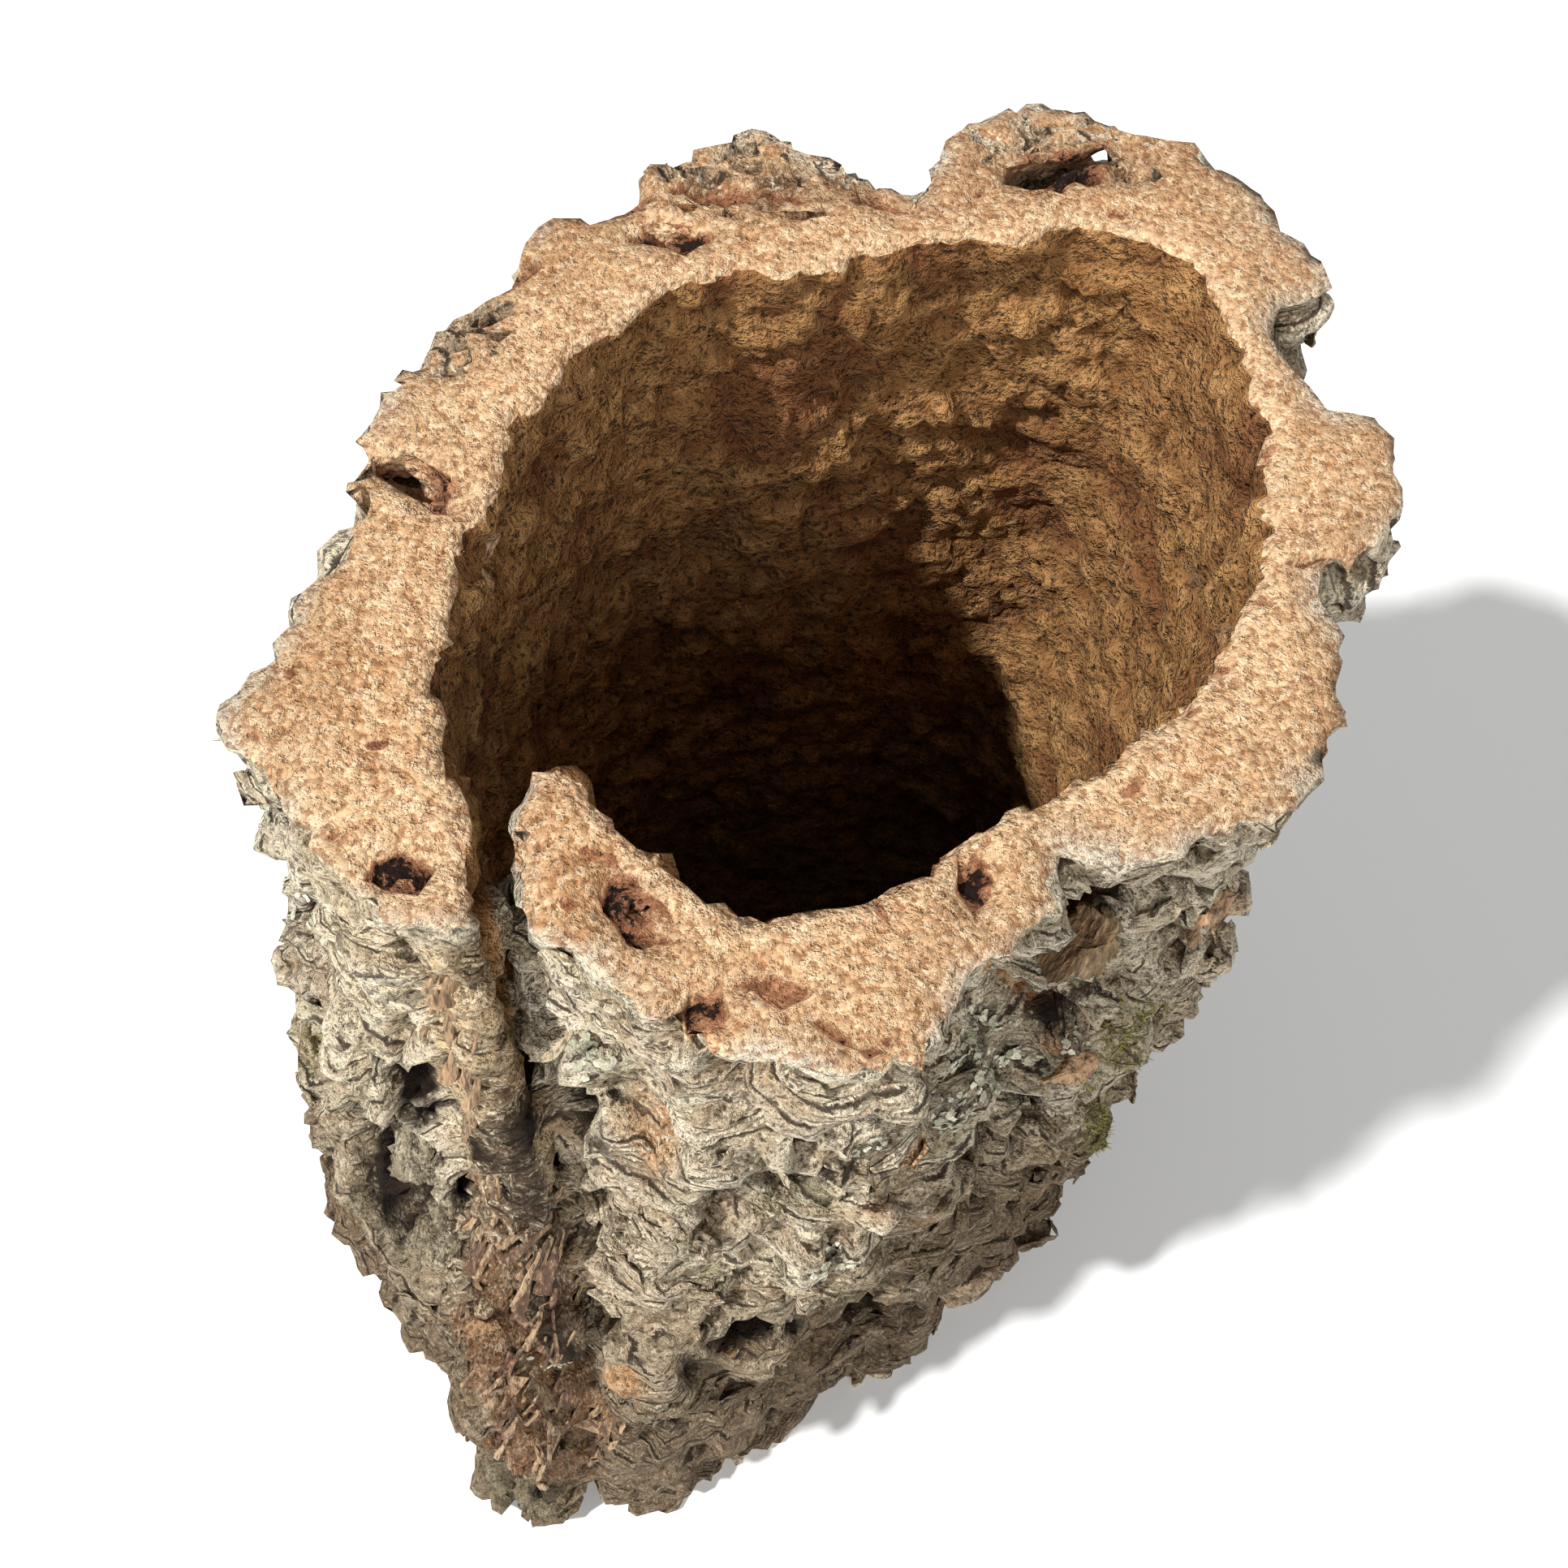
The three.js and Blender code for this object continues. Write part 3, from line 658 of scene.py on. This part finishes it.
# Low parts of the fine relief darkened, more so towards the top: painted shade.
valley_shade_share = pick(0.72, 0.4, rise(z, 200.0, 80.0))
bark_shown = tone(bark_shown, colour(56, 39, 24), rise(fine, -0.15, -0.7) * valley_shade_share)
sawn_shown = stored(place, "sawn_tone", "Color")
# Raised crumbs paler and the edges between them darker: painted highlight and painted shade on the crumb
# relief.
sawn_shown = tone(sawn_shown, colour(248, 218, 178), rise(shade + fine * 0.4, 0.35, 1.1) * 0.6)
sawn_shown = tone(sawn_shown, colour(150, 98, 60), rise(edge * 0.85 - fine * 0.4, 0.4, 0.8) * 0.68)
in_pore = rise(pore + fine * 0.25, 0.84, 1.02)
pore_shown = tone(colour(118, 70, 48), colour(176, 120, 86), shade + fine * 0.5)
sawn_shown = tone(sawn_shown, pore_shown, in_pore * 0.9)
# Dark in the deepest parts of the pores: painted shade.
sawn_shown = tone(sawn_shown, colour(38, 22, 14), rise(stored(place, "sink") + fine * 0.9, 2.0, 2.7))
plug(shader.inputs["Base Color"], tone(bark_shown, sawn_shown, sawn))
terraces = (layer.part() * -0.8 - line * 0.9 - gap * 0.9 + band * 0.9) * (1.0 - upright) * outer
wall_height = terraces + fine * 1.0 + shade * 0.8 - edge * 0.5
sawn_height = fine * 0.5 - edge * 0.85 + shade * 0.45
rough(shader, place, pick(wall_height, sawn_height, sawn), 1.0)
shader.inputs["Roughness"].default_value = 0.9
shader.inputs["Specular IOR Level"].default_value = 0.25
bark.data.materials.append(cork)
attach(bark, "root")
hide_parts("cork_tube")

# Loose flakes
# Thin scales of dead bark that have half let go of the outside, each held along its upper edge. Flat ragged
# plates are strewn over the bark, leaned out at the foot, then buckled by one uneven shift.
def chance(tree, least, most, seed):
    """A number between two bounds, different on each strewn thing."""
    return step(tree, "FunctionNodeRandomValue", 1, data_type="FLOAT", inputs={2: least, 3: most, 8: seed})


def kept(tree, name):
    """A number that was stored on the mesh under a name."""
    return step(tree, "GeometryNodeInputNamedAttribute", data_type="FLOAT", inputs={"Name": name})


def turned(tree, start, axis, towards, pivot="AUTO"):
    """A turn that brings an axis of a thing towards a direction, after an earlier turn if there is one."""
    return step(tree, "FunctionNodeAlignRotationToVector", axis=axis, pivot_axis=pivot,
                inputs={"Rotation": start, "Vector": towards} if start else {"Vector": towards})


def ragged_plate(name, corners, seed, thickness):
    """A flat, ragged plate about 2 across with a little thickness, as one of several to strew."""
    bpy.ops.object.select_all(action="DESELECT")
    bpy.ops.mesh.primitive_circle_add(vertices=corners, radius=1.0, fill_type="TRIFAN")
    plate = bpy.context.object
    plate.name = name
    bpy.ops.object.mode_set(mode="EDIT")
    bpy.ops.mesh.select_all(action="SELECT")
    bpy.ops.transform.vertex_random(offset=0.22, uniform=0.0, normal=0.0, seed=seed)
    bpy.ops.object.mode_set(mode="OBJECT")
    apply(plate, "thickness", "SOLIDIFY", thickness=thickness, offset=0.0)
    return plate


def as_choice(name, pieces):
    """Puts the variants in a collection of their own, so that each strewn one is picked from them."""
    group = bpy.data.collections.new(name)
    for piece in pieces:
        for old in piece.users_collection:
            old.objects.unlink(piece)
        group.objects.link(piece)
    return group


def strew(tree, host, choice, share, spacing, most, seed, aim, spin, size, sunk=0.0):
    """Variants set on a host's faces, all as one mesh: aim gives their turn, spin and size vary each one."""
    points, normal = step(tree, "GeometryNodeDistributePointsOnFaces", "Points", "Normal",
                          distribute_method="POISSON",
                          inputs={"Mesh": host, "Distance Min": spacing * MM,
                                  "Density Max": most / MM ** 2, "Density Factor": share, "Seed": seed})
    variants = step(tree, "GeometryNodeCollectionInfo", "Instances",
                    inputs={"Collection": choice, "Separate Children": True, "Reset Children": True})
    turn = step(tree, "FunctionNodeRotateRotation", rotation_space="LOCAL",
                inputs={"Rotation": aim(normal), "Rotate By": spin})
    points, turn = keep(points, "turn", turn, "QUATERNION")
    points, _ = keep(points, "own", chance(tree, 0.0, 1.0, 77))
    points = move(points, normal * -sunk)
    placed = step(tree, "GeometryNodeInstanceOnPoints", "Instances",
                  inputs={"Points": points, "Instance": variants, "Pick Instance": True, "Rotation": turn,
                          "Scale": size * MM})
    return step(tree, "GeometryNodeRealizeInstances", "Geometry", inputs={"Geometry": placed})


def new_piece(name, finish, tree):
    """An object whose mesh is what the node tree makes, with its finish and its place in the part."""
    bpy.ops.object.select_all(action="DESELECT")
    mesh = bpy.data.meshes.new(name)
    piece = bpy.data.objects.new(name, mesh)
    bpy.context.collection.objects.link(piece)
    bpy.context.view_layer.objects.active = piece
    piece.select_set(True)
    apply(piece, "strewing", "NODES", node_group=tree)
    piece.data.materials.clear()
    piece.data.materials.append(finish)
    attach(piece, "root")


def bark_host(tree):
    """The finished bark, to strew things on."""
    return step(tree, "GeometryNodeObjectInfo", "Geometry", inputs={"Object": bark})


def shifted(place, level_size, upright_size):
    """A shift that varies smoothly from place to place, over a size for its level part and for its height."""
    return vector(noise(place, level_size), noise(place + 20.0, level_size),
                  noise(place + 40.0, upright_size))


def dressed(tree, shape):
    """The bark's own tones and layers, stored on a strewn piece."""
    bore = skins(new_solid(tree))[0]
    place = here(tree)
    shape, growth = keep(shape, "growth", near(bore, place))
    shape, _ = keep(shape, "layer", layer_count(place, growth, YEAR))
    shape, small = keep(shape, "small", noise(place, 5.0, 3.0, 0.6))
    broad = noise(place, BROAD, 3.0)
    none = small * 0.0
    tones = bark_tones(place, broad, small, none, none - 0.6, none, none)
    shape, _ = keep(shape, "wall_tone", tones, "FLOAT_COLOR")
    return shape


def loose_flakes():
    """Flakes on the weathered bark, away from the buff lobe, the torn cork and both ends."""
    tree, _ = new_tree("loose flakes")
    place = here(tree)
    z = place.split()[2]
    host = bark_host(tree)
    plain = (kept(tree, "inner") < 0.1) * (kept(tree, "torn") < 0.1) * (kept(tree, "upright") < 0.3)
    off_buff = rise(spot(place, BUFF_LOBE[0], (36, 30, 52)), 0.7, 1.0)
    share = (plain * off_buff * rise(z.least(HEIGHT - z), 8.0, 16.0)
             * rise(noise(place + 30.0, 16.0, 2.0), 0.0, 0.5) * rise(kept(tree, "hollow"), 0.9, 0.2))

    def aim(normal):
        lean = normal * (1.0, 1.0, 0.4) + vector(0.0, 0.0, chance(tree, 0.0, 0.35, 5))
        level = normal.math("CROSS_PRODUCT", (0.0, 0.0, 1.0))
        return turned(tree, turned(tree, None, "Z", lean), "X", level, "Z")

    size = vector(chance(tree, 2.5, 6.5, 1), chance(tree, 1.5, 3.2, 2), chance(tree, 2.5, 4.0, 3))
    spin = vector(0.0, 0.0, chance(tree, -0.5, 0.5, 4))
    shape = strew(tree, host, flake_choice, share, 4.0, 0.03, 11, aim, spin, size, 0.5)
    finish_tree(tree, dressed(tree, move(shape, shifted(here(tree), 7.0, 6.0) * 1.6)))
    return tree


flake_choice = as_choice("flake kinds", [ragged_plate("flake %d" % i, 13 + i, i, 0.16) for i in range(4)])
new_piece("loose_flakes", cork, loose_flakes())

# Split shreds
# Torn shreds of cork that fan out from the top of the split and hang over its lips, brown and smooth. Flat
# tapered strips are strewn over the torn bark, most of them upright, then drawn against it and bent a little.
FAN_TOP = (-49.0, -80.0, 372.0)
torn_cork, shader, place = new_finish("torn cork")
fine = noise(place * (0.8, 0.8, 0.09), 1.0, 3.0, 0.6)
shown = stored(place, "wall_tone", "Color")
shown = tone(shown, colour(206, 172, 130), rise(fine, 0.1, 0.8) * 0.4)
shown = tone(shown, colour(58, 36, 22), rise(fine, 0.0, -0.6) * 0.7)
plug(shader.inputs["Base Color"], shown)
rough(shader, place, fine * 0.5, 0.8)
shader.inputs["Roughness"].default_value = 0.85


def shred(name, seed):
    """A flat tapered strip, 2 wide and 2 long, ragged at its ends."""
    bpy.ops.object.select_all(action="DESELECT")
    bpy.ops.mesh.primitive_cylinder_add(vertices=6, radius=1.0, depth=2.0, end_fill_type="TRIFAN")
    made = bpy.context.object
    made.name = name
    bpy.ops.object.mode_set(mode="EDIT")
    for level in (-0.8, -0.6, -0.4, -0.2, 0.0, 0.2, 0.4, 0.6, 0.8):
        bpy.ops.mesh.select_all(action="SELECT")
        bpy.ops.mesh.bisect(plane_co=(0, 0, level), plane_no=(0, 0, 1))
    bpy.ops.mesh.select_all(action="SELECT")
    bpy.ops.transform.vertex_random(offset=0.13, uniform=0.0, normal=0.0, seed=seed)
    bpy.ops.object.mode_set(mode="OBJECT")
    apply(made, "taper", "SIMPLE_DEFORM", deform_method="TAPER", deform_axis="Z", factor=-1.1)
    return made


def drape(shape, host, amount):
    """Draws a shape towards the host's faces, most where it stands far off."""
    place = here(shape.tree)
    nearest, distance = step(shape.tree, "GeometryNodeProximity", "Position", "Distance",
                             target_element="FACES", inputs={"Geometry": host, "Sample Position": place * MM})
    return move(shape, (nearest / MM - place) * rise(distance / MM, 0.4, 7.0) * amount)


def split_shreds():
    """Shreds on the torn cork: a fan at the top of the split, and looser bunches below it."""
    tree, _ = new_tree("split shreds")
    place = here(tree)
    x, y, z = place.split()
    host = bark_host(tree)
    fan = rise(z, 215.0, 245.0)
    in_fan = rise(noise(place, (6.0, 6.0, 60.0), 1.0), -0.1, 0.2) * rise(x + z * 0.03, -41.0, -47.0)
    share = ((kept(tree, "torn") > 0.5) * rise(z, 40.0, 110.0) * rise(HEIGHT - z, 6.0, 16.0)
             * pick(rise(noise(place, 11.0, 2.0), -0.15, 0.25), in_fan, fan) * (kept(tree, "inner") < 0.4))

    def aim(normal):
        drift = vector(noise(place, 18.0), noise(place + 9.0, 18.0), 0.0) * (1.0 - fan) * 0.4
        along = ((FAN_TOP - place).unit() * (fan + 0.3) + (0.25, 0.05, 0.9)).unit() + drift
        return turned(tree, turned(tree, None, "Z", along), "Y", normal, "Z")

    width = chance(tree, 0.65, 1.3, 1)
    size = vector(width * width, chance(tree, 0.35, 0.8, 2), chance(tree, 6.0, 17.0, 3))
    spin = vector(0.0, 0.0, chance(tree, -0.5, 0.5, 4))
    shape = strew(tree, host, shred_choice, share, 2.6, 0.06, 3, aim, spin, size, 0.3)
    shape = drape(shape, bark_host(tree), 0.9)
    place = here(tree)
    bend = vector(noise(place, (16.0, 16.0, 34.0), 1.0), noise(place + 20.0, (16.0, 16.0, 34.0), 1.0), 0.0)
    shape = move(shape, bend * 1.7 + (-0.1, -0.3, 0.0))
    place = here(tree)
    own = kept(tree, "own") + noise(place, (4.0, 4.0, 30.0), 2.0) * 0.3
    shown = tone(colour(80, 56, 39), colour(178, 148, 114), rise(own, 0.0, 1.1))
    shown = tone(shown, colour(96, 54, 34), rise(noise(place + 60.0, 16.0, 2.0), 0.1, 0.5) * 0.5)
    shown = tone(shown, colour(176, 142, 106), rise(place.split()[2], 215.0, 290.0) * 0.5)
    shape, _ = keep(shape, "wall_tone", shown, "FLOAT_COLOR")
    finish_tree(tree, shape)
    return tree


shred_choice = as_choice("shred kinds", [shred("shred %d" % i, i) for i in range(4)])
new_piece("split_shreds", torn_cork, split_shreds())

# Hanging scales
# Bigger pieces of bark that hang half off, each held at one edge: two thin brown scales and a tan chunk under
# the right rim, and small chips at the split, in a hole and at the back. Ragged plates, each in its place.
def placed_scale(name, seed, middle, facing, run, half_size, shade):
    """A ragged plate in its place: facing is the way it looks, run is the way its length goes."""
    plate = ragged_plate(name, 16, seed, 1.0)
    facing = Vector(facing).normalized()
    run = Vector(run)
    run = (run - facing * run.dot(facing)).normalized()
    axes = Matrix((run, facing.cross(run), facing)).transposed().to_4x4()
    scaling = Matrix.Diagonal((*(Vector(half_size) * MM), 1.0))
    plate.matrix_world = Matrix.Translation(Vector(middle) * MM) @ axes @ scaling
    bpy.ops.object.transform_apply(location=True, rotation=True, scale=True)
    paint = plate.data.color_attributes.new("wall_tone", "FLOAT_COLOR", "POINT")
    paint.data.foreach_set("color", shade * len(plate.data.vertices))
    return plate


def buckled():
    """The uneven bend of dry bark."""
    tree, shape = new_tree("buckled")
    finish_tree(tree, move(shape, shifted(here(tree), 10.0, 9.0) * 3.0))
    return tree


# Middle, the way it looks, the way its length goes, half sizes and colour.
SCALES = (
    ((62, -52, 300), (-0.5, -0.85, 0.25), (0.1, -0.1, 1), (14, 5.5, 0.9), colour(104, 80, 52)),
    ((67, -50, 297), (0.4, -0.9, 0.2), (-0.1, -0.1, 1), (15, 4.5, 0.9), colour(128, 104, 72)),
    ((92, -38, 294), (0.7, -0.65, 0.2), (0.4, 0.5, 0.5), (7, 5, 2.4), colour(148, 118, 88)),
    ((-38, -88, 300), (0.2, -0.8, 0.5), (0.6, -0.1, 0.7), (5, 1.6, 0.8), colour(184, 168, 138)),
    ((-57, -114, 166), (-0.1, -0.8, 0.5), (0.7, 0.1, 0.5), (5, 2.8, 1.0), colour(142, 110, 78)),
    ((72, -58, 246), (0.3, -0.8, 0.4), (0.9, 0.3, 0.1), (7, 4, 1.2), colour(178, 142, 108)),
    ((9, 101, 345), (-0.5, 0.4, 0.8), (-0.6, 0.7, 0.1), (7, 2.5, 1.2), colour(206, 162, 116)),
)
scales = [placed_scale("scale %d" % i, 60 + i, *scale) for i, scale in enumerate(SCALES)]
bpy.ops.object.select_all(action="DESELECT")
for scale in scales:
    scale.select_set(True)
hanging = scales[0]
bpy.context.view_layer.objects.active = hanging
bpy.ops.object.join()
hanging.name = "hanging_scales"
apply(hanging, "smaller faces", "SUBSURF", subdivision_type="SIMPLE", levels=2, render_levels=2)
apply(hanging, "buckled", "NODES", node_group=buckled())
hanging.data.materials.clear()
hanging.data.materials.append(torn_cork)
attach(hanging, "root")

# Lichen
# Pale grey-green lobes that grow flat on the bark in patches, thickest right of the front lobe. Small ragged
# plates are strewn close together, so that they overlap, and each is tipped a little.
lichen, shader, place = new_finish("lichen")
fine = noise(place, 0.9, 2.0, 0.6)
shown = tone(colour(150, 148, 122), colour(232, 228, 204), stored(place, "own"))
shown = tone(shown, colour(92, 96, 76), rise(fine, -0.1, -0.7) * 0.5)
plug(shader.inputs["Base Color"], shown)
rough(shader, place, fine * 0.4, 0.7)
shader.inputs["Roughness"].default_value = 0.95


def lichen_lobes():
    """Lobes in the lichen patches, a little off the bark."""
    tree, _ = new_tree("lichen")
    place = here(tree)
    share = (in_spots(place, LICHEN_PATCHES, 0.6) * (kept(tree, "inner") < 0.3)
             * rise(noise(place, 4.0, 2.0), -0.35, 0.1) * rise(HEIGHT - place.split()[2], 3.0, 8.0))

    def aim(normal):
        return turned(tree, None, "Z", normal)

    width = chance(tree, 0.5, 1.7, 1)
    size = vector(width, width * chance(tree, 0.6, 1.0, 2), 1.4)
    spin = vector(chance(tree, -0.5, 0.5, 4), chance(tree, -0.5, 0.5, 5), chance(tree, -3.1, 3.1, 6))
    shape = strew(tree, bark_host(tree), lobe_choice, share, 1.15, 0.5, 21, aim, spin, size, -0.2)
    finish_tree(tree, move(shape, shifted(here(tree), 2.5, 2.5) * 0.6))
    return tree


lobe_choice = as_choice("lobe kinds", [ragged_plate("lobe %d" % i, 9 + i, 30 + i, 0.22) for i in range(3)])
new_piece("lichen_lobes", lichen, lichen_lobes())

# Moss
# Short yellow-green moss in cushions, mostly at the right edge, at the rim's left tip and on the back. Sprigs
# of five pointed leaves are strewn close together and stand out from the bark.
moss, shader, place = new_finish("moss")
paler = rise(stored(place, "own") + noise(place, 3.0) * 0.5, 0.0, 1.0)
shown = tone(colour(108, 104, 40), colour(178, 170, 92), paler)
plug(shader.inputs["Base Color"], shown)
shader.inputs["Roughness"].default_value = 0.9


def sprig(name, seed):
    """Five thin pointed leaves from one point, each 2 long."""
    middle = Vector((0, 0, 0.8))
    bpy.ops.object.select_all(action="DESELECT")
    bpy.ops.mesh.primitive_cone_add(vertices=3, radius1=0.26, depth=2.0, location=middle)
    made = bpy.context.object
    made.name = name
    bpy.ops.object.mode_set(mode="EDIT")
    for leaf in range(4):
        turn = Matrix.Rotation(leaf * 1.57 + seed, 3, "Z") @ Matrix.Rotation(0.75, 3, "X")
        bpy.ops.mesh.primitive_cone_add(vertices=3, radius1=0.26, depth=2.0, rotation=turn.to_euler(),
                                        location=turn @ middle - made.location)
    bpy.ops.object.mode_set(mode="OBJECT")
    bpy.ops.object.transform_apply(location=True, rotation=True, scale=True)
    return made


def moss_cushions():
    """Sprigs in the moss patches, leaning up a little."""
    tree, _ = new_tree("moss")
    place = here(tree)
    share = (in_spots(place, MOSS_PATCHES, 0.5) * (kept(tree, "inner") < 0.3)
             * rise(noise(place, 5.0), -0.5, 0.0))

    def aim(normal):
        return turned(tree, None, "Z", normal + (0.0, 0.0, 0.3))

    width = chance(tree, 0.7, 1.3, 1)
    size = vector(width, width, chance(tree, 0.8, 1.7, 2))
    spin = vector(chance(tree, -0.4, 0.4, 4), chance(tree, -0.4, 0.4, 5), chance(tree, -3.1, 3.1, 6))
    finish_tree(tree, strew(tree, bark_host(tree), sprig_choice, share, 0.9, 0.7, 31, aim, spin, size, 0.3))
    return tree


sprig_choice = as_choice("sprig kinds", [sprig("sprig %d" % i, i * 0.5) for i in range(2)])
new_piece("moss_cushions", moss, moss_cushions())

bpy.data.objects.remove(solid_form)

# Floor, light and camera
bpy.ops.object.select_all(action="DESELECT")
bpy.ops.mesh.primitive_plane_add(size=6, location=(0, 0, 0))
floor = bpy.context.object
floor.name = "floor"
paper = bpy.data.materials.new("pale floor")
paper.use_nodes = True
paper.node_tree.nodes["Principled BSDF"].inputs["Base Color"].default_value = (0.85, 0.85, 0.84, 1)
paper.node_tree.nodes["Principled BSDF"].inputs["Roughness"].default_value = 0.9
floor.data.materials.append(paper)

scene = bpy.context.scene
scene.view_settings.view_transform = "Standard"
world = scene.world or bpy.data.worlds.new("studio")
scene.world = world
world.use_nodes = True
world.node_tree.nodes["Background"].inputs["Color"].default_value = (1, 1, 1, 1)
world.node_tree.nodes["Background"].inputs["Strength"].default_value = 0.36

bpy.ops.object.light_add(type="SUN", rotation=(math.radians(20), math.radians(-36), 0))
key = bpy.context.object
key.data.energy = 4.1
key.data.angle = math.radians(3)
bpy.ops.object.light_add(type="SUN", rotation=(math.radians(62), 0, math.radians(12)))
front_fill = bpy.context.object
front_fill.data.energy = 1.6
front_fill.data.angle = math.radians(40)

CAMERA_PLACE = (-0.0005, -0.2134, 0.6415)
CAMERA_TILT = 61.0
CAMERA_ROLL = 7.48
CAMERA_LENS = 42.86
bpy.ops.object.camera_add()
camera = bpy.context.object
camera.matrix_world = (
    Matrix.Translation(CAMERA_PLACE)
    @ Matrix.Rotation(math.radians(90 - CAMERA_TILT), 4, "X")
    @ Matrix.Rotation(math.radians(CAMERA_ROLL), 4, "Z")
)
camera.data.sensor_width = 36
camera.data.lens = CAMERA_LENS
scene.camera = camera
